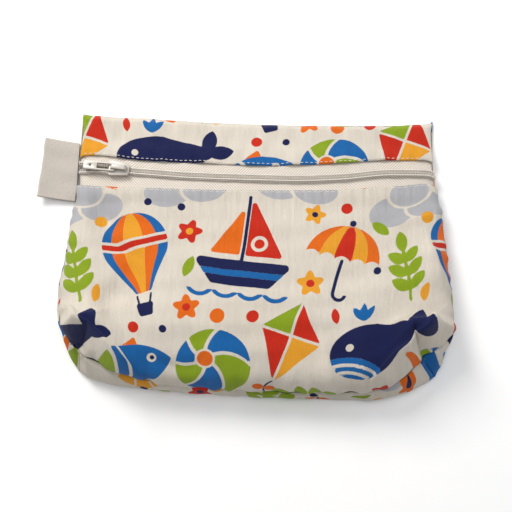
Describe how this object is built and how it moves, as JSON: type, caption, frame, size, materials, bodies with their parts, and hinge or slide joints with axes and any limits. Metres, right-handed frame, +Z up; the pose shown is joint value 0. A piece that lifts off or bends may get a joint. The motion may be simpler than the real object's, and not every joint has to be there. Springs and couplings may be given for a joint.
{
  "type": "cloth diaper wet bag",
  "caption": "Small zipped cloth pouch with boxed bottom corners, a coil zip with a swinging pull tab and a folded side label, lying on its back.",
  "frame": {"origin": "on the flat underside of the back panel, under the middle of the bag", "axes": "+X to the right across the bag, +Y towards its top edge, +Z up from the back panel that it lies on, out of the front"},
  "size_m": [0.2231, 0.1563, 0.0307],
  "materials": {
    "printed_cloth": "off-white laminated polyester with a bright print",
    "zip_tape": "off-white woven tape",
    "zip_coil": "off-white nylon coil",
    "slider_paint": "off-white enamel",
    "label_weave": "off-white woven label, blank"
  },
  "bodies": {
    "bag": {"front_panel": "printed_cloth", "top_band": "printed_cloth", "back_panel": "printed_cloth", "zip_tape_upper": "zip_tape", "zip_tape_lower": "zip_tape", "zip_coil_upper": "zip_coil", "zip_coil_lower": "zip_coil", "slider_body": "slider_paint", "label_loop": "label_weave"},
    "pull_tab": {"pull_tab": "slider_paint"}
  },
  "joints": [
    {"name": "pull_tab_hinge", "type": "hinge", "parent": "bag", "child": "pull_tab", "pos_m": [-0.07607, 0.04795, 0.01092], "axis": [0.1188, 0.9809, -0.154], "range_deg": [0, 165]}
  ]
}
